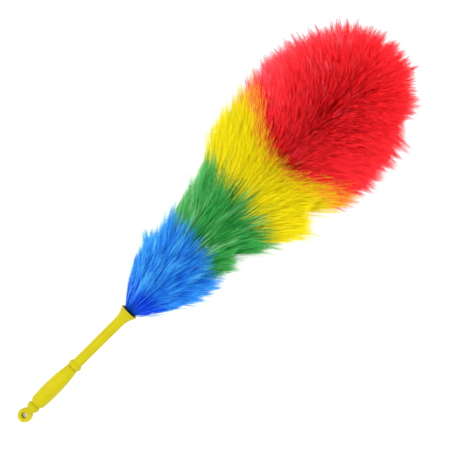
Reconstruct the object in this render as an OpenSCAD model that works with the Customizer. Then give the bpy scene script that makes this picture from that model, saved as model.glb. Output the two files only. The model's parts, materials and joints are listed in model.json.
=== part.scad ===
// Feather duster: a hollow moulded handle with a hanging eye, and a bushy head of four dyed
// fibre bundles held in a twisted steel wire that can be bent by hand.
// Every piece is drawn along its own centre line and then laid down, so that the duster
// rests on z = 0 on the bead behind its grip and on the fibres under the red bundle.

/* [Duster] */
// Length from the back of the hanging eye to the tip of the red fibres
total_length = 600; // [596:1:612]
// Angle of the centre line above the surface that the duster lies on
lie_angle = 10; // [9.5:0.5:11]

/* [Hanging eye] */
// Outer radius of the eye
eye_r = 8.1; // [7.8:0.1:9]
// Radius of the hole through the eye
eye_hole_r = 3.3; // [2.5:0.1:3.6]
// Thickness of the eye along its hole
eye_thick = 8; // [6:0.5:8.5]
// Turn of the eye about the centre line
eye_roll = 6; // [0:1:12]

/* [Grip] */
// Largest radius of the bead behind the grip
bead_r = 7.4; // [7:0.1:7.6]
// Distance from the back of the eye to the middle of the bead
bead_at = 21.2; // [20.8:0.1:21.6]
// Largest radius of the grip
grip_r = 9.4; // [8.9:0.1:9.8]
// Distance from the back of the eye to the widest part of the grip
grip_at = 48; // [46:0.5:50]
// Radius of the long curve of the grip along its length
grip_curve = 218; // [210:1:260]
// Distance from the back of the eye to the joint between grip and stem
grip_end = 83; // [82:0.5:84]

/* [Stem] */
// Largest radius of the collar that butts against the grip
collar_r = 7.9; // [7.4:0.1:8.2]
// Radius of the stem beside the collar
stem_r_back = 5.95; // [5.9:0.05:6.1]
// Radius of the stem where the bell begins
stem_r_front = 6.2; // [6.1:0.05:6.3]
// Radius of the bore through the stem
stem_bore_r = 4.6; // [4.4:0.05:4.7]
// Distance from the back of the eye to the start of the bell
bell_start = 156; // [154:0.5:158]
// Distance from the back of the eye to the mouth of the bell
bell_end = 172.7; // [172:0.1:173]
// Radius of the concave flare of the bell
bell_flare = 28.3; // [28:0.1:32]
// Radius of the lip round the mouth of the bell
lip_r = 10.7; // [10.4:0.1:11]
// Wall thickness of the bell
bell_wall = 1.3; // [1.1:0.1:1.4]

/* [Wire core] */
// Radius of each of the two twisted strands
strand_r = 0.9; // [0.8:0.05:0.95]
// Length of one full turn of the twist
twist_pitch = 18; // [14:1:24]
// Distance from the back of the eye to the cut ends of the wire
wire_start = 116; // [112:1:120]
// Distance from the back of the eye to the folded tip of the wire
wire_end = 522; // [516:1:530]

/* [Fibre bundles] */
// Distance from the back of the eye to the first place where the core bends
bend_1 = 174.5; // [174.5:0.1:174.8]
// Distance to the bend between the blue and the green bundle
bend_2 = 232; // [228:1:234]
// Distance to the bend between the green and the yellow bundle
bend_3 = 303; // [301:1:305]
// Distance to the bend between the yellow and the red bundle
bend_4 = 390; // [388:1:392]
// Radius of the blue bundle
blue_r = 50; // [48:1:52]
// Radius at the rim of the green bundle
green_r = 75; // [72:1:77]
// Radius at the rim of the yellow bundle
yellow_r = 90; // [88:1:91]
// Radius of the red bundle
red_r = 93; // [91:1:96]
// Angle that each bundle leaves free for the bend behind it
bend_room = 9; // [8.5:0.5:10]

/* [Hidden] */
$fn = 72;

// grip: bead, shoulder and cavity
bead_curve = 4.6;                          // radius of the bead's own rounding
neck_r = 4.9;                              // neck between the eye and the bead
waist_r = 5.7;                             // waist between the bead and the grip
shoulder_curve = 2.5;                      // rounding of the grip's back edge
shoulder_at = bead_at + 8;                 // where that rounding ends
cavity_start = 40;                         // bottom of the blind cavity in the grip
spigot_start = 60;                         // back end of the stem's spigot
spigot_gap = 0.05;                         // radial clearance of the spigot in the cavity
spigot_bore_r = 3.1;                       // bore through the spigot
eye_edge = 2.2;                            // rounding of the eye's outer edges
eye_chamfer = 1;                           // chamfer at each mouth of its hole

// stem: collar, bore and bell
collar_curve = 4.2;                        // radius of the collar's rounding
collar_at = grip_end + 4.1;                // widest part of the collar
lip_len = 1.8;                             // length of the lip at the mouth of the bell
lip_step = 0.5;                            // how far it stands proud of the bell
flare_axis_r = stem_r_front + bell_flare;  // centre of the flare's arc, from the centre line

// wire core
pair_r = strand_r + 0.05;                  // distance of each strand from the centre line
wire_r = pair_r + strand_r;                // envelope of the twisted pair
bend_gap = 0.4;                            // gap on each side of a bend
strand_facets = 8;                         // sides of each strand
slices_per_turn = 8;                       // steps in one turn of the twist
fold_overlap = 0.1;                        // how far the folded tip runs into the strands
plug_start = 124;
plug_end = 154;
groove_depth = 0.6;                        // glue grooves round the plug
groove_len = 3;
groove_first = 7;                          // from the plug's back end to the first groove
groove_spacing = 9;
cap_start = wire_end - 10;                 // back edge of the cap on the folded tip
cap_r = 3.2;
cap_cover = 1;                             // wall of the cap over the folded tip

// fibre bundles
core_gap = 0.05;                           // clearance of the fibres round the wire
relief_r = 2.8;                            // wider bore beside each bend
relief_len = 6;
root_r = 9;                                // radius of the blue bundle at the mouth of the bell
blue_swell = 84;                           // length over which it swells to its full radius
blue_end = bend_2 + 54;                    // rim of the blue bundle
green_end = bend_3 + 60;                   // rim of the green bundle
yellow_end = bend_4 + 56;                  // rim of the yellow bundle
yellow_back = 0.93;                        // share of its radius at its back edge
red_back = 0.99;                           // the same for the red bundle
red_at = 480;                              // widest part of the red bundle
red_half = total_length - red_at;          // length of its rounded end
swell_steps = 6;                           // straight lengths in the side of a bundle
dome_steps = 12;                           // and in the rounded end of the red one

// resting height and the point above the origin
rest_z = bead_curve + (bead_r - bead_curve) * cos(lie_angle) - bead_at * sin(lie_angle);
reach_x = red_at * cos(lie_angle) + norm([red_half * cos(lie_angle), red_r * sin(lie_angle)]);
far = 1000;
eps = 0.01;
long_arc = 100;                            // arcs over this radius get finer steps

// Turns a piece drawn along Z so that it runs along X
module along_x() {
    rotate([0, 90, 0]) children();
}

// Lays a piece down from the centre line's frame to the frame of the duster at rest
module lay() {
    translate([-reach_x / 2, 0, rest_z]) rotate([0, -lie_angle, 0]) children();
}

// Revolves an outline given as [radius, distance along the centre line]
module revolve() {
    along_x() rotate_extrude() children();
}

// Keeps the part of an outline between two distances, on the outer side of the centre line
module between(from, to) {
    intersection() {
        translate([0, from]) square([far, to - from]);
        children();
    }
}

// Outline of a straight round bar
module bar(r, from, to) {
    translate([0, from]) square([r, to - from]);
}

// Outline of a disc whose centre is at_r out from the centre line
module disc(r, at_r, at) {
    translate([at_r, at]) circle(r, $fn = r > long_arc ? 720 : 72);
}

// The eye with its rounded outer edges, before its hole is cut
module eye_blank() {
    half = eye_thick / 2;
    flat_r = eye_r - eye_edge;
    rotate_extrude() {
        translate([0, -half]) square([flat_r, eye_thick]);
        translate([0, eye_edge - half]) square([eye_r, eye_thick - 2 * eye_edge]);
        for (side = [-1, 1]) translate([flat_r, side * (half - eye_edge)]) circle(eye_edge);
    }
}

// The hole through the eye, with a chamfer at each mouth
module eye_hole() {
    half = eye_thick / 2;
    cylinder(r = eye_hole_r, h = eye_thick + 2, center = true);
    for (side = [0, 1]) mirror([0, 0, side]) translate([0, 0, half - eye_chamfer])
        cylinder(r1 = eye_hole_r, r2 = eye_hole_r + eye_chamfer + 1, h = eye_chamfer + 1);
}

// Moves a piece drawn round Z to the hanging eye
module at_eye() {
    translate([eye_r, 0, 0]) rotate([-eye_roll, 0, 0]) children();
}

// Bead, waist and long rounded body of the grip
module grip_outline() {
    bar(neck_r, eye_r, bead_at);
    between(0, grip_end) disc(bead_curve, bead_r - bead_curve, bead_at);
    bar(waist_r, bead_at, shoulder_at);
    shoulder_r = sqrt(pow(grip_curve, 2) - pow(grip_at - shoulder_at, 2)) - grip_curve + grip_r;
    disc(shoulder_curve, shoulder_r - shoulder_curve, shoulder_at);
    between(shoulder_at, grip_end) disc(grip_curve, grip_r - grip_curve, grip_at);
}

module grip() {
    color("gold") lay() difference() {
        union() {
            revolve() grip_outline();
            at_eye() eye_blank();
        }
        at_eye() eye_hole();
        along_x() translate([0, 0, cavity_start])
            cylinder(r = stem_bore_r, h = grip_end - cavity_start + eps);
    }
}

// Spigot, collar, slightly tapered tube and flared bell
module stem_outline() {
    bar(stem_bore_r - spigot_gap, spigot_start, grip_end);
    between(grip_end, bell_start) disc(collar_curve, collar_r - collar_curve, collar_at);
    bar(stem_r_back, grip_end, collar_at);
    polygon([[0, collar_at], [stem_r_back, collar_at], [stem_r_front, bell_start], [0, bell_start]]);
    difference() {
        bar(lip_r - lip_step, bell_start, bell_end);
        disc(bell_flare, flare_axis_r, bell_start);
    }
    bar(lip_r, bell_end - lip_len, bell_end);
}

// Inside of the stem, narrower in the spigot and following the flare in the bell
module stem_hollow() {
    bar(spigot_bore_r, spigot_start - eps, collar_at + eps);
    bar(stem_bore_r, collar_at, bell_start + eps);
    difference() {
        bar(lip_r - bell_wall, bell_start, bell_end + eps);
        disc(bell_flare + bell_wall, flare_axis_r, bell_start);
    }
}

module stem() {
    color("gold") lay() revolve() difference() {
        stem_outline();
        stem_hollow();
    }
}

// Plug that is glued into the stem and holds the tail of the wire
module core_plug() {
    color("ivory") lay() revolve() difference() {
        bar(stem_bore_r - spigot_gap, plug_start, plug_end);
        bar(wire_r + core_gap, plug_start - eps, plug_end + eps);
        for (at = [plug_start + groove_first : groove_spacing : plug_end - groove_len])
            translate([stem_bore_r - spigot_gap - groove_depth, at]) square([stem_bore_r, groove_len]);
    }
}

// Two strands twisted round the centre line between two distances
module twisted_pair(from, to) {
    turn = 360 / twist_pitch;
    along_x() translate([0, 0, from]) rotate([0, 0, -turn * from])
        linear_extrude(height = to - from, twist = turn * (to - from),
                       slices = ceil((to - from) / twist_pitch * slices_per_turn), $fn = strand_facets)
            for (side = [-1, 1]) translate([side * pair_r, 0]) circle(strand_r);
}

module core_wire_tail() {
    color("silver") lay() twisted_pair(wire_start, bend_1 - bend_gap);
}

module core_wire_blue() {
    color("silver") lay() twisted_pair(bend_1 + bend_gap, bend_2 - bend_gap);
}

module core_wire_green() {
    color("silver") lay() twisted_pair(bend_2 + bend_gap, bend_3 - bend_gap);
}

module core_wire_yellow() {
    color("silver") lay() twisted_pair(bend_3 + bend_gap, bend_4 - bend_gap);
}

// The last stretch ends where the wire is folded back into a hairpin
module core_wire_red() {
    fold = wire_end - wire_r;
    color("silver") lay() {
        twisted_pair(bend_4 + bend_gap, fold);
        along_x() translate([0, 0, fold - fold_overlap]) rotate([0, 0, -360 / twist_pitch * fold])
            rotate([90, 0, 0]) rotate_extrude(angle = 180, $fn = 12)
                translate([pair_r, 0]) circle(strand_r);
    }
}

// Round-ended cap over the folded tip
module tip_cap() {
    dome_at = wire_end + cap_cover;
    color("ivory") lay() revolve() difference() {
        union() {
            bar(cap_r, cap_start, dome_at);
            between(dome_at, far) disc(cap_r, 0, dome_at);
        }
        bar(wire_r + core_gap, cap_start - eps, wire_end + core_gap);
    }
}

// Half angle of the cone from a bend to a rim
function rim_angle(rim_r, rim_at, bend) = atan(rim_r / (rim_at - bend));

// Point of a cone that starts at a bend, at a given radius
function cone_point(r, bend, angle) = [r, bend + r / tan(angle)];

// Side of a bundle: it swells from one outline point to another and levels off there
function swell(from, to) = [
    for (i = [0 : swell_steps])
        let (t = i / swell_steps)
            [from[0] + (to[0] - from[0]) * sin(90 * t), from[1] + (to[1] - from[1]) * t]
];

// A bundle: its outline runs out along the cone behind it, along its swelling side, and
// back along the cone to the next bend; the fibres are pressed flat where they lie
module bundle(outline, from, to) {
    intersection() {
        lay() revolve() difference() {
            polygon(outline);
            bar(wire_r + core_gap, from, to);
            bar(relief_r, from - relief_len, from + relief_len);
            bar(relief_r, to - relief_len, to + relief_len);
        }
        translate([-far, -far, 0]) cube(2 * far);
    }
}

module blue_fibres() {
    outline = concat(
        [[0, bend_1]],
        swell([root_r, bend_1], [blue_r, bend_1 + blue_swell]),
        [[blue_r, blue_end], [0, bend_2]]
    );
    color("royalblue") bundle(outline, bend_1, bend_2);
}

module green_fibres() {
    back = rim_angle(blue_r, blue_end, bend_2) - bend_room;
    outline = concat(
        [[0, bend_2]],
        swell(cone_point(blue_r, bend_2, back), [green_r, green_end]),
        [[0, bend_3]]
    );
    color("seagreen") bundle(outline, bend_2, bend_3);
}

module yellow_fibres() {
    back = rim_angle(green_r, green_end, bend_3) - bend_room;
    outline = concat(
        [[0, bend_3]],
        swell(cone_point(yellow_back * yellow_r, bend_3, back), [yellow_r, yellow_end]),
        [[0, bend_4]]
    );
    color("yellow") bundle(outline, bend_3, bend_4);
}

module red_fibres() {
    back = rim_angle(yellow_r, yellow_end, bend_4) - bend_room;
    outline = concat(
        [[0, bend_4], cone_point(red_back * red_r, bend_4, back)],
        [for (i = [0 : dome_steps])
            let (turn = 90 * i / dome_steps)
                [red_r * cos(turn), red_at + red_half * sin(turn)]]
    );
    difference() {
        color("crimson") bundle(outline, bend_4, cap_start);
        lay() revolve() {
            bar(cap_r + core_gap, cap_start - core_gap, wire_end + cap_cover);
            between(wire_end + cap_cover, far) disc(cap_r + core_gap, 0, wire_end + cap_cover);
        }
    }
}

grip();
stem();
core_plug();
core_wire_tail();
core_wire_blue();
core_wire_green();
core_wire_yellow();
core_wire_red();
tip_cap();
blue_fibres();
green_fibres();
yellow_fibres();
red_fibres();
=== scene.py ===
import json
import math

import bpy
import numpy as np
from mathutils import Matrix, Vector


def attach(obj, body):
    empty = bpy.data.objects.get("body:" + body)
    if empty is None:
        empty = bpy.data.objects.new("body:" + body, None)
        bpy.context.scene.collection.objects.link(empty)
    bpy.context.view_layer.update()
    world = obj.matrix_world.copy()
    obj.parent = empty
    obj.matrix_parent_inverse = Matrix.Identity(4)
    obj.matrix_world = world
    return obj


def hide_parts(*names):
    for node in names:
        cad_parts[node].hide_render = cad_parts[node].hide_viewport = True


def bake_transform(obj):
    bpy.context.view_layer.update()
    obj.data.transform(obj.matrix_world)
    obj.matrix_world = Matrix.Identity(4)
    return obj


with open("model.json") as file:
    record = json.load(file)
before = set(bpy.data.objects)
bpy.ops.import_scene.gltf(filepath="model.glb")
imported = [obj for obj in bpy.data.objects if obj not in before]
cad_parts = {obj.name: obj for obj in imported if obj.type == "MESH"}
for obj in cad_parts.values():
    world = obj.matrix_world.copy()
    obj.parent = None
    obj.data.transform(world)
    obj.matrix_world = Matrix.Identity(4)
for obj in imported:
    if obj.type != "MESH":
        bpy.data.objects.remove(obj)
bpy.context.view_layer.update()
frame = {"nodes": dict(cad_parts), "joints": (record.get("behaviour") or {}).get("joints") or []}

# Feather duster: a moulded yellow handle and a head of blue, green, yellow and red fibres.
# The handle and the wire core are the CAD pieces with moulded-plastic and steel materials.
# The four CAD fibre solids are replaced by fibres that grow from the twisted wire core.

SEED = 7
rng = np.random.default_rng(SEED)
MM = 0.001

# ---------------------------------------------------------------- the duster's own axes
# Distances along the centre line are in mm from the back of the hanging eye.
NECK_AT = 174.5                                # the neck bend, at the mouth of the bell
joint_at = {j["name"]: np.array(j["pos_m"]) for j in frame["joints"]}
ALONG = joint_at["yellow_red_bend"] - joint_at["neck_bend"]
ALONG = ALONG / np.linalg.norm(ALONG)
SIDE = np.array([0.0, 1.0, 0.0])
UP = np.cross(ALONG, SIDE)
START = joint_at["neck_bend"] - NECK_AT * MM * ALONG


def place(at, side=0.0, up=0.0):
    """Points in the row frame, in metres, from mm along, beside and above the centre line."""
    at, side, up = (np.asarray(v, float)[..., None] * MM for v in (at, side, up))
    return START + at * ALONG + side * SIDE + up * UP


# ---------------------------------------------------------------- colours and materials
# Each fibre has a shade from 0 to 1: dark, then its full colour, then pale. It differs at random
# from lock to lock and fibre to fibre, and it also carries painted light and shade: paler where
# fibres point sideways or to the left, darker where they point to the right.
FULL_SHADE = 0.5
PALE_SHADES = (0.68, 0.95)                     # where a fibre starts to be pale, and is palest
PALEST = 0.8                                   # share of the pale colour in the palest fibres
FIBRE_ROUGHNESS = 0.5
FIBRE_SPECULAR = 0.1
PLASTIC_SPECULAR = 0.08
GRAIN_SCALE = 900                              # of the satin grain on the plastic, per metre
GRAIN_DEPTH = 0.2 * MM
GRAIN_STRENGTH = 0.15
ROUGHNESS_SPREAD = 0.06                        # how far the grain changes the roughness


def linear(red, green, blue):
    """A display colour from 0 to 255 as the linear colour that a shader takes."""
    def channel(c):
        c = c / 255
        return c / 12.92 if c <= 0.04045 else ((c + 0.055) / 1.055) ** 2.4
    return (channel(red), channel(green), channel(blue), 1.0)


def new_material(name):
    """A material with its nodes, its links and its shader node."""
    material = bpy.data.materials.new(name)
    material.use_nodes = True
    nodes, links = material.node_tree.nodes, material.node_tree.links
    return material, nodes, links, nodes["Principled BSDF"]


def ramp(nodes, stops):
    """A ColorRamp node from a list of (position, colour)."""
    node = nodes.new("ShaderNodeValToRGB")
    elements = node.color_ramp.elements
    while len(elements) < len(stops):
        elements.new(0.5)
    for element, (position, colour) in zip(elements, stops):
        element.position = position
        element.color = colour
    return node


def mix(nodes, links, blend_type, factor, first, second):
    """A Mix node on two colour sockets; the factor is a number or a socket."""
    node = nodes.new("ShaderNodeMix")
    node.data_type = "RGBA"
    node.blend_type = blend_type
    if isinstance(factor, float):
        node.inputs[0].default_value = factor
    else:
        links.new(factor, node.inputs[0])
    links.new(first, node.inputs[6])
    links.new(second, node.inputs[7])
    return node.outputs[2]


def fibre_material(name, root, middle, tip, dark, pale):
    """Dyed fibre, with a paler tip colour that is painted light shining through the thin ends: u
    of the OFBake map runs from root to tip, and v is the fibre's shade.
    """
    material, nodes, links, shader = new_material(name)
    uv = nodes.new("ShaderNodeUVMap")
    uv.uv_map = "OFBake"
    split = nodes.new("ShaderNodeSeparateXYZ")
    links.new(uv.outputs["UV"], split.inputs[0])
    # painted light: the colour pales from the middle to the tip, for light shining through the
    # thin ends
    along = ramp(nodes, [(0.0, root), (0.4, middle), (0.65, middle), (1.0, tip)])
    links.new(split.outputs["X"], along.inputs[0])
    # dark shades are partly random from lock to lock and partly painted shade on fibres that point
    # right
    shade = ramp(nodes, [(0.0, dark), (FULL_SHADE, (1, 1, 1, 1))])
    links.new(split.outputs["Y"], shade.inputs[0])
    colour = mix(nodes, links, "MULTIPLY", 1.0, along.outputs[0], shade.outputs[0])
    # pale shades are partly random and partly painted light on fibres that point sideways or left;
    # the pale tint grows towards the tip
    pale_start, pale_end = PALE_SHADES
    share = ramp(nodes, [(pale_start, (0, 0, 0, 1)), (pale_end, (PALEST, PALEST, PALEST, 1))])
    links.new(split.outputs["Y"], share.inputs[0])
    tint = ramp(nodes, [(0.1, middle), (0.6, pale)])
    links.new(split.outputs["X"], tint.inputs[0])
    colour = mix(nodes, links, "MIX", share.outputs[0], colour, tint.outputs[0])
    links.new(colour, shader.inputs["Base Color"])
    shader.inputs["Roughness"].default_value = FIBRE_ROUGHNESS
    shader.inputs["Specular IOR Level"].default_value = FIBRE_SPECULAR
    return material


def plastic_material(name, colour, shade, roughness, scale):
    """Injection-moulded plastic: faint flow mottling and a fine satin grain."""
    material, nodes, links, shader = new_material(name)
    coord = nodes.new("ShaderNodeTexCoord")
    mottle = nodes.new("ShaderNodeTexNoise")
    mottle.inputs["Scale"].default_value = scale
    mottle.inputs["Detail"].default_value = 3
    links.new(coord.outputs["Object"], mottle.inputs["Vector"])
    tint = ramp(nodes, [(0.3, shade), (0.65, colour)])
    links.new(mottle.outputs["Fac"], tint.inputs[0])
    links.new(tint.outputs[0], shader.inputs["Base Color"])
    shader.inputs["Specular IOR Level"].default_value = PLASTIC_SPECULAR
    grain = nodes.new("ShaderNodeTexNoise")
    grain.inputs["Scale"].default_value = GRAIN_SCALE
    grain.inputs["Detail"].default_value = 2
    links.new(coord.outputs["Object"], grain.inputs["Vector"])
    polish = nodes.new("ShaderNodeMapRange")
    polish.inputs["To Min"].default_value = roughness - ROUGHNESS_SPREAD
    polish.inputs["To Max"].default_value = roughness + ROUGHNESS_SPREAD
    links.new(grain.outputs["Fac"], polish.inputs["Value"])
    links.new(polish.outputs[0], shader.inputs["Roughness"])
    bump = nodes.new("ShaderNodeBump")
    bump.inputs["Strength"].default_value = GRAIN_STRENGTH
    bump.inputs["Distance"].default_value = GRAIN_DEPTH
    links.new(grain.outputs["Fac"], bump.inputs["Height"])
    links.new(bump.outputs[0], shader.inputs["Normal"])
    return material


def steel_material(name):
    """Galvanised wire: dull zinc with fine drawn streaks."""
    material, nodes, links, shader = new_material(name)
    coord = nodes.new("ShaderNodeTexCoord")
    spangle = nodes.new("ShaderNodeTexNoise")
    spangle.inputs["Scale"].default_value = 400
    spangle.inputs["Detail"].default_value = 4
    links.new(coord.outputs["Object"], spangle.inputs["Vector"])
    tint = ramp(nodes, [(0.3, linear(150, 152, 155)), (0.7, linear(196, 198, 200))])
    links.new(spangle.outputs["Fac"], tint.inputs[0])
    links.new(tint.outputs[0], shader.inputs["Base Color"])
    shader.inputs["Metallic"].default_value = 1.0
    shader.inputs["Roughness"].default_value = 0.38
    return material


def paint(node, material):
    """Gives a CAD piece its material."""
    slots = frame["nodes"][node].data.materials
    slots.clear()
    slots.append(material)


handle_plastic = plastic_material(
    "handle_plastic", linear(158, 148, 0), linear(152, 141, 0), roughness=0.42, scale=60)
white_plastic = plastic_material(
    "white_plastic", linear(232, 230, 220), linear(222, 219, 206), roughness=0.55, scale=80)
steel = steel_material("core_steel")
for node in ("grip", "stem"):
    paint(node, handle_plastic)
for node in ("core_plug", "tip_cap"):
    paint(node, white_plastic)
for node in frame["nodes"]:
    if node.startswith("core_wire"):
        paint(node, steel)

# ---------------------------------------------------------------- fibres
RINGS = np.array([0.0, 0.32, 0.64, 0.88])      # cross-sections along a fibre, before its tip
STATIONS = np.append(RINGS, 1.0)
TAPER = np.array([0.7, 1.0, 0.95, 0.55])       # width at each cross-section
SLIVER = [(1.0, -0.15), (-1.0, -0.15), (0.0, 0.35)]    # a cross-section's corners, in half widths
WIDTHS = (0.7, 1.3)                            # the fibres' widths, as shares of the bundle's own
SHADE_STEP = 0.001                             # keeps a face from being a line on the map
FLOOR_CUSHION = 7.0                            # mm: fibres nearer the floor are pressed flat
TUFT_SCATTER = 7.0                             # mm that the tips of tufts and locks stray
LOCK_SCATTER = 7.0
RADIUS_SCATTER = 0.4                           # share of that by which the tips' radius strays
DOME_SCATTER = 0.5                             # and the radius of the dome at the tip
CURL_SPREAD = 8.0                              # degrees by which the fibres' curl strays
GATHER_POWER = 1.4                             # a higher one gathers fibres nearer to their tips
ROOT_START = 170.5                             # mm along: no fibre starts deeper in the bell
BELL_FILL = 5.0                                # mm: how far out fibres start inside the bell
# gaps in the outline, in mm: where their middle is along and beside the core, their size, and
# the share of a fibre's length that they take
DENTS = [(270, 48, 12, 0.12), (356, 70, 9, 0.1), (314, -52, 9, 0.5), (338, -66, 10, 0.12),
         (403, -90, 11, 0.65), (405, -74, 9, 0.35), (540, -85, 14, 0.2), (586, -52, 14, 0.1)]
REACH_LIMIT = 102.0                            # mm from the core that no fibre passes
LOCK_HOLD = 0.8                                # how tightly the tips of a lock come together
SINGLE_HOLD = 0.15                             # and those of the fibres between the locks
SMOOTH_TOP = 1.0                               # how far the duster's top is combed smooth
LOCK_LENGTHS = 0.08                            # how far the locks differ in length
FIBRE_LENGTHS = 0.07                           # and the fibres
SINGLE_SHORT = 0.14                            # single fibres at the duster's sides are shorter
PAINTED_RIM_LIGHT = 0.18                                # painted light: fibres that point sideways, not up or down, are paler
PAINTED_SIDE_LIGHT = 0.15                               # painted light and shade: fibres that point left are paler, those that point right darker
SHADE_NOISE = 0.05                             # how far fibres differ in shade in any bundle
FIBRE_CONTRAST = 0.5                           # and beyond that, as a share of the locks' contrast
SHADE_RANGE = (0.02, 0.98)
WAVE = 0.7                                     # mm that a fibre bows out of line
PIECE_FIBRES = 9000                            # most fibres in one piece


def sweep(root_at, tip_at, tip_r, turn, curl, root_r=0.0):
    """Curves from the core to given tips, as an array [fibre, station, (along, side, up)].
    Each fibre leaves the core more upright than its chord by the angle curl, and ends flatter.
    Its root is root_r out from the centre line."""
    chord = np.hypot(tip_at - root_at, tip_r)
    lean = np.arctan2(tip_r, tip_at - root_at)
    t = STATIONS[None, :]
    across = (t - t * t) * np.tan(curl)[:, None] * chord[:, None]
    line = t * chord[:, None]
    along = root_at[:, None] + line * np.cos(lean)[:, None] - across * np.sin(lean)[:, None]
    out = line * np.sin(lean)[:, None] + across * np.cos(lean)[:, None]
    out = out + np.reshape(root_r, (-1, 1)) * (1 - t)
    return np.stack([along, out * np.cos(turn)[:, None], out * np.sin(turn)[:, None]], axis=2)


def gather(paths, guides, strength):
    """Draws each path towards the guide that ends nearest to it, more so towards the tip.
    Returns the new paths and the number of the guide of each."""
    index = np.array([((guides[:, -1] - tip) ** 2).sum(1).argmin() for tip in paths[:, -1]])
    pull = np.reshape(strength, (-1, 1, 1)) * STATIONS[None, :, None] ** GATHER_POWER
    return paths + pull * (guides[index] - paths), index


def around(turn, left, top, right, bottom):
    """A value that is left or right on the sides of the core, and top or bottom on its crests."""
    crest = np.sin(turn) ** 4
    side = np.where(np.cos(turn) > 0, left, right)
    return side * (1 - crest) + np.where(np.sin(turn) > 0, top, bottom) * crest


def skirt(count, stations, scatter, curl, crowd=1.0):
    """Paths of fibres whose tips make a skirt. Each station is (root, tip radius, and where the
    tips end along the core on its left, top, right and bottom sides). A crowd over 1 sets the
    roots closer together towards the first station."""
    table = np.array(stations, float)
    root_at = table[0, 0] + (table[-1, 0] - table[0, 0]) * rng.uniform(0, 1, count) ** crowd
    turn = rng.uniform(0, 2 * math.pi, count)
    tip_r, *sides = (np.interp(root_at, table[:, 0], table[:, k]) for k in range(1, 6))
    tip_at = around(turn, *sides) + rng.normal(0, scatter, count)
    tip_r = tip_r + rng.normal(0, RADIUS_SCATTER * scatter, count)
    root_r = BELL_FILL * np.sqrt(rng.uniform(0, 1, count)) * (root_at < NECK_AT)
    curls = np.radians(rng.normal(curl, CURL_SPREAD, count))
    return sweep(root_at, tip_at, tip_r, turn, curls, root_r)


def dome(count, root_range, radius, widest, scatter):
    """Paths of fibres that fan out from the end of the core over a rounded tip, up to the angle
    widest from the core's own direction."""
    root_at = rng.uniform(*root_range, count)
    turn = rng.uniform(0, 2 * math.pi, count)
    lean = np.arccos(1 - rng.uniform(0, 1, count) * (1 - math.cos(math.radians(widest))))
    reach = radius + rng.normal(0, DOME_SCATTER * scatter, count)
    tip_at = root_at + reach * np.cos(lean)
    curls = np.radians(rng.normal(0, CURL_SPREAD, count))
    return sweep(root_at, tip_at, reach * np.sin(lean), turn, curls)


def outline_fit(tips):
    """How much of its length each fibre keeps, for the dents and within the reach limit."""
    reach = np.hypot(tips[:, 1], tips[:, 2])
    keep = np.minimum(1, REACH_LIMIT / reach)
    for at, side, size, depth in DENTS:
        away = np.hypot(tips[:, 0] - at, tips[:, 1] - side)
        keep *= 1 - depth * np.exp(-(away / size) ** 2)
    return keep


def tufts(make, count, tuft_count, lock_count, pull, bow, contrast, undercoat):
    """Fibres drawn into locks, and locks drawn into tufts by the share pull. Locks bow out of
    line by bow mm, contrast is how far their shades differ, and undercoat is the share of
    fibres that stand singly between the locks. Returns the paths and a shade for each."""
    locks, _ = gather(make(lock_count, LOCK_SCATTER), make(tuft_count, TUFT_SCATTER), pull)
    t = STATIONS[None, :, None]
    locks += rng.normal(0, bow, (lock_count, 1, 3)) * np.sin(math.pi * t)
    fibres = make(count, LOCK_SCATTER)
    single = rng.uniform(0, 1, count) < undercoat
    line = fibres[:, -1] - fibres[:, 0]
    aim = line / np.linalg.norm(line, axis=1)[:, None]
    hold = np.where(single, SINGLE_HOLD, LOCK_HOLD)
    hold = hold * (1 - SMOOTH_TOP * np.maximum(aim[:, 2], 0))
    fibres, lock = gather(fibres, locks, hold)
    fibres[:, 0, 0] = np.maximum(fibres[:, 0, 0], ROOT_START)
    fibres += rng.normal(0, WAVE, (count, 1, 3)) * np.sin(math.pi * t)
    flat = (1 - np.abs(aim[:, 2])) ** 2
    lock_length = rng.normal(0, LOCK_LENGTHS, lock_count)
    length = 1 + lock_length[lock] * hold - SINGLE_SHORT * single * flat
    length -= np.abs(rng.normal(0, FIBRE_LENGTHS, count))
    roots, reach = fibres[:, :1], fibres - fibres[:, :1]
    reach = reach * length[:, None, None]
    reach = reach * outline_fit((roots + reach)[:, -1])[:, None, None]
    fibres = roots + reach
    lock_shade = rng.normal(0, contrast, lock_count)
    noise = rng.normal(0, SHADE_NOISE + FIBRE_CONTRAST * contrast, count)
    shade = FULL_SHADE + lock_shade[lock] + noise
    # painted light and shade: paler where fibres point sideways and to the left, darker where they
    # point to the right
    shade += PAINTED_RIM_LIGHT * flat + PAINTED_SIDE_LIGHT * aim[:, 1]
    return fibres, np.clip(shade, *SHADE_RANGE)


def on_the_floor(points):
    """Presses the points that would be below the floor, or close to it, into a thin layer."""
    height = points[..., 2] / MM
    pressed = FLOOR_CUSHION * np.exp((height - FLOOR_CUSHION) / FLOOR_CUSHION)
    points[..., 2] = np.where(height < FLOOR_CUSHION, pressed, height) * MM
    return points


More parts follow.
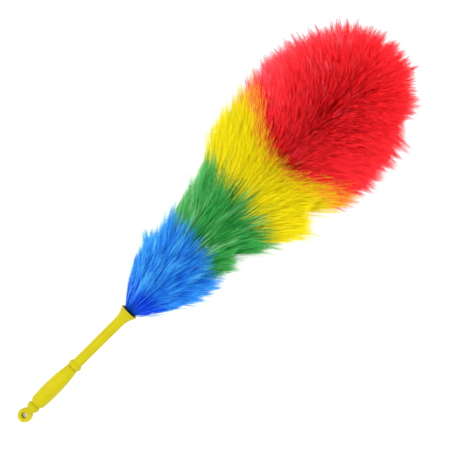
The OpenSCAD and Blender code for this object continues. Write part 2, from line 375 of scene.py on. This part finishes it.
def fibre_mesh(name, paths, shade, width, material):
    """Closed three-sided slivers along the paths, with the OFBake map: u along, v the shade."""
    count, rings = len(paths), len(RINGS)
    points = on_the_floor(place(paths[:, :, 0], paths[:, :, 1], paths[:, :, 2]))
    tangent = points[:, -1] - points[:, 0]
    tangent /= np.linalg.norm(tangent, axis=1)[:, None]
    broad = np.cross(tangent, rng.normal(0, 1, (count, 3)))
    broad /= np.linalg.norm(broad, axis=1)[:, None]
    thin = np.cross(tangent, broad)
    size = (width * rng.uniform(*WIDTHS, count) / 2 * MM)[:, None] * TAPER[None, :]
    verts = np.empty((count, rings * 3 + 1, 3))
    for k, (a, b) in enumerate(SLIVER):
        offset = a * broad[:, None] + b * thin[:, None]
        verts[:, k:rings * 3:3] = points[:, :-1] + size[:, :, None] * offset
    verts[:, -1] = points[:, -1]

    faces = [(2, 1, 0)]
    for ring in range(rings - 1):
        low = 3 * ring
        for k in range(3):
            n = (k + 1) % 3
            faces.append((low + k, low + n, low + 3 + n, low + 3 + k))
    low = 3 * (rings - 1)
    faces += [(low + k, low + (k + 1) % 3, rings * 3) for k in range(3)]
    corner_ids = np.concatenate([np.array(f) for f in faces])
    sizes = np.array([len(f) for f in faces])
    starts = np.concatenate([[0], np.cumsum(sizes)[:-1]])
    loops = (np.arange(count)[:, None] * (rings * 3 + 1) + corner_ids[None, :]).ravel()

    mesh = bpy.data.meshes.new(name)
    mesh.vertices.add(count * (rings * 3 + 1))
    mesh.vertices.foreach_set("co", verts.astype(np.float32).ravel())
    mesh.loops.add(len(loops))
    mesh.loops.foreach_set("vertex_index", loops.astype(np.int32))
    mesh.polygons.add(count * len(faces))
    all_starts = np.arange(count)[:, None] * len(corner_ids) + starts[None, :]
    mesh.polygons.foreach_set("loop_start", all_starts.ravel().astype(np.int32))
    mesh.polygons.foreach_set("use_smooth", np.ones(count * len(faces), bool))
    mesh.update(calc_edges=True)

    station_of = np.append(np.repeat(RINGS, 3), 1.0)
    u = np.tile(station_of[corner_ids], count)
    side_step = np.append(np.tile([-SHADE_STEP, 0.0, SHADE_STEP], rings), 0.0)
    v = np.repeat(shade, len(corner_ids)) + np.tile(side_step[corner_ids], count)
    layer = mesh.uv_layers.new(name="OFBake")
    layer.data.foreach_set("uv", np.stack([u, v], 1).astype(np.float32).ravel())
    mesh.materials.append(material)
    mesh.validate()
    obj = bpy.data.objects.new(name, mesh)
    bpy.context.scene.collection.objects.link(obj)
    return obj


def bundle(name, node, body, fibres, width, material, next_body=None):
    """Pieces of fibres that stand for a CAD fibre solid. Pieces of a bundle with a next section
    stay where they are built; the others are attached to the bundle's body.
    """
    paths, shade = fibres
    pieces = math.ceil(len(paths) / PIECE_FIBRES)
    for k in range(pieces):
        own = slice(k, None, pieces)
        piece = fibre_mesh(f"{name}_{k + 1}", paths[own], shade[own], width, material)
        if next_body:
            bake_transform(piece)
        else:
            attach(piece, body)
        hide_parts(node)


blue_fibre = fibre_material(
    "blue_fibre", linear(14, 88, 200), linear(2, 76, 230), linear(58, 178, 255),
    (0.4, 0.58, 0.78, 1), linear(100, 215, 255))
green_fibre = fibre_material(
    "green_fibre", linear(0, 88, 42), linear(14, 144, 60), linear(78, 198, 92),
    (0.3, 0.6, 0.42, 1), linear(165, 235, 165))
yellow_fibre = fibre_material(
    "yellow_fibre", linear(232, 186, 0), linear(238, 218, 0), linear(246, 232, 8),
    (0.86, 0.8, 0.5, 1), linear(226, 226, 24))
red_fibre = fibre_material(
    "red_fibre", linear(252, 0, 0), linear(255, 10, 8), linear(255, 56, 68),
    (0.85, 0.5, 0.5, 1), linear(255, 150, 170))


# Where the fibres of each bundle start and end, in mm along and out from the core.
def blue_paths(count, scatter):
    stations = [(168, 38, 222, 222, 222, 222), (195, 56, 256, 260, 248, 254),
                (228, 57, 296, 296, 275, 284)]
    return skirt(count, stations, 0.9 * scatter, curl=-4, crowd=1.3)


def green_paths(count, scatter):
    stations = [(230, 49, 302, 304, 284, 300), (252, 54, 322, 322, 304, 318),
                (276, 64, 348, 350, 334, 340), (300, 77, 374, 378, 350, 362)]
    return skirt(count, stations, 1.2 * scatter, curl=3)


def yellow_paths(count, scatter):
    stations = [(302, 80, 386, 386, 366, 376), (330, 89, 400, 388, 386, 392),
                (358, 94, 424, 396, 414, 418), (388, 95, 454, 397, 445, 447)]
    return skirt(count, stations, scatter, curl=6)


def red_stray_paths(count, scatter):
    stations = [(384, 99, 440, 396, 428, 430), (394, 101, 462, 412, 446, 450)]
    return skirt(count, stations, scatter, curl=3)


def red_skirt_paths(count, scatter):
    stations = [(392, 97, 467, 416, 452, 452), (425, 99, 474, 438, 462, 462),
                (455, 100, 484, 462, 478, 478), (490, 99, 500, 500, 500, 500),
                (515, 96, 525, 525, 525, 525)]
    return skirt(count, stations, scatter, curl=0)


def red_dome_paths(count, scatter):
    return dome(count, (505, 520), radius=88, widest=80, scatter=0.8 * scatter)


blue = tufts(blue_paths, 13000, 80, 450, pull=0.4, bow=3, contrast=0.22, undercoat=0.4)
green = tufts(green_paths, 13000, 80, 350, pull=0.5, bow=4, contrast=0.2, undercoat=0.35)
yellow = tufts(yellow_paths, 26000, 200, 900, pull=0.2, bow=1.5, contrast=0.05, undercoat=0.6)
red = tufts(red_skirt_paths, 36000, 300, 1200, pull=0.2, bow=1.5, contrast=0.08, undercoat=0.6)
red_stray = tufts(red_stray_paths, 4500, 60, 300, pull=0.2, bow=3, contrast=0.06, undercoat=0.7)
red_tip = tufts(red_dome_paths, 18000, 150, 600, pull=0.5, bow=2, contrast=0.1, undercoat=0.3)

bundle("blue_fibres", "blue_fibres", "blue_section", blue, 0.4, blue_fibre,
       "green_section")
bundle("green_fibres", "green_fibres", "green_section", green, 0.4, green_fibre,
       "yellow_section")
bundle("yellow_fibres", "yellow_fibres", "yellow_section", yellow, 0.5, yellow_fibre,
       "red_section")
bundle("red_fibres", "red_fibres", "red_section", red, 0.5, red_fibre)
bundle("red_stray_fibres", "red_fibres", "red_section", red_stray, 0.4, red_fibre)
bundle("red_tip_fibres", "red_fibres", "red_section", red_tip, 0.4, red_fibre)

# ---------------------------------------------------------------- floor, light and camera
FLOOR_HALF = 6.0                               # metres
floor_mesh = bpy.data.meshes.new("floor")
corners = [(-FLOOR_HALF, -FLOOR_HALF, 0), (FLOOR_HALF, -FLOOR_HALF, 0),
           (FLOOR_HALF, FLOOR_HALF, 0), (-FLOOR_HALF, FLOOR_HALF, 0)]
floor_mesh.from_pydata(corners, [], [(0, 1, 2, 3)])
floor = bpy.data.objects.new("floor", floor_mesh)
bpy.context.scene.collection.objects.link(floor)
floor_white, _, _, floor_shader = new_material("floor_white")
floor_shader.inputs["Base Color"].default_value = (0.93, 0.93, 0.93, 1)
floor_shader.inputs["Roughness"].default_value = 0.8
floor_mesh.materials.append(floor_white)

world = bpy.data.worlds.new("studio")
bpy.context.scene.world = world
world.use_nodes = True
background = world.node_tree.nodes["Background"]
background.inputs["Color"].default_value = (1, 1, 1, 1)
background.inputs["Strength"].default_value = 1.6


def softbox(name, position, aim, size, power):
    """A square area light that faces the point aim; size in metres and power in watts."""
    light = bpy.data.lights.new(name, "AREA")
    light.shape = "SQUARE"
    light.size = size
    light.energy = power
    obj = bpy.data.objects.new(name, light)
    obj.location = position
    obj.rotation_euler = (Vector(aim) - Vector(position)).to_track_quat("-Z", "Y").to_euler()
    bpy.context.scene.collection.objects.link(obj)


AIM_AT, AIM_SIDE = 317.0, -6.8                 # mm: the middle of the picture
softbox("key", (-0.7, 0.5, 1.5), place(AIM_AT), size=1.2, power=18)
softbox("fill", (0.9, -0.9, 1.2), place(AIM_AT), size=1.4, power=9)

# The camera looks square on to the centre line, which climbs to the right in the picture.
CAMERA_DISTANCE = 850.0
FOCAL_MM = 60.7
SENSOR_MM = 36
CLIMB = math.radians(44.8)
right = math.cos(CLIMB) * ALONG - math.sin(CLIMB) * SIDE
upward = math.sin(CLIMB) * ALONG + math.cos(CLIMB) * SIDE
camera_data = bpy.data.cameras.new("camera")
camera_data.lens = FOCAL_MM
camera_data.sensor_width = SENSOR_MM
camera = bpy.data.objects.new("camera", camera_data)
camera_turn = Matrix((right, upward, UP)).transposed().to_4x4()
camera_move = Matrix.Translation(Vector(place(AIM_AT, AIM_SIDE, CAMERA_DISTANCE)))
camera.matrix_world = camera_move @ camera_turn
bpy.context.scene.collection.objects.link(camera)
bpy.context.scene.camera = camera
bpy.context.scene.view_settings.view_transform = "Standard"
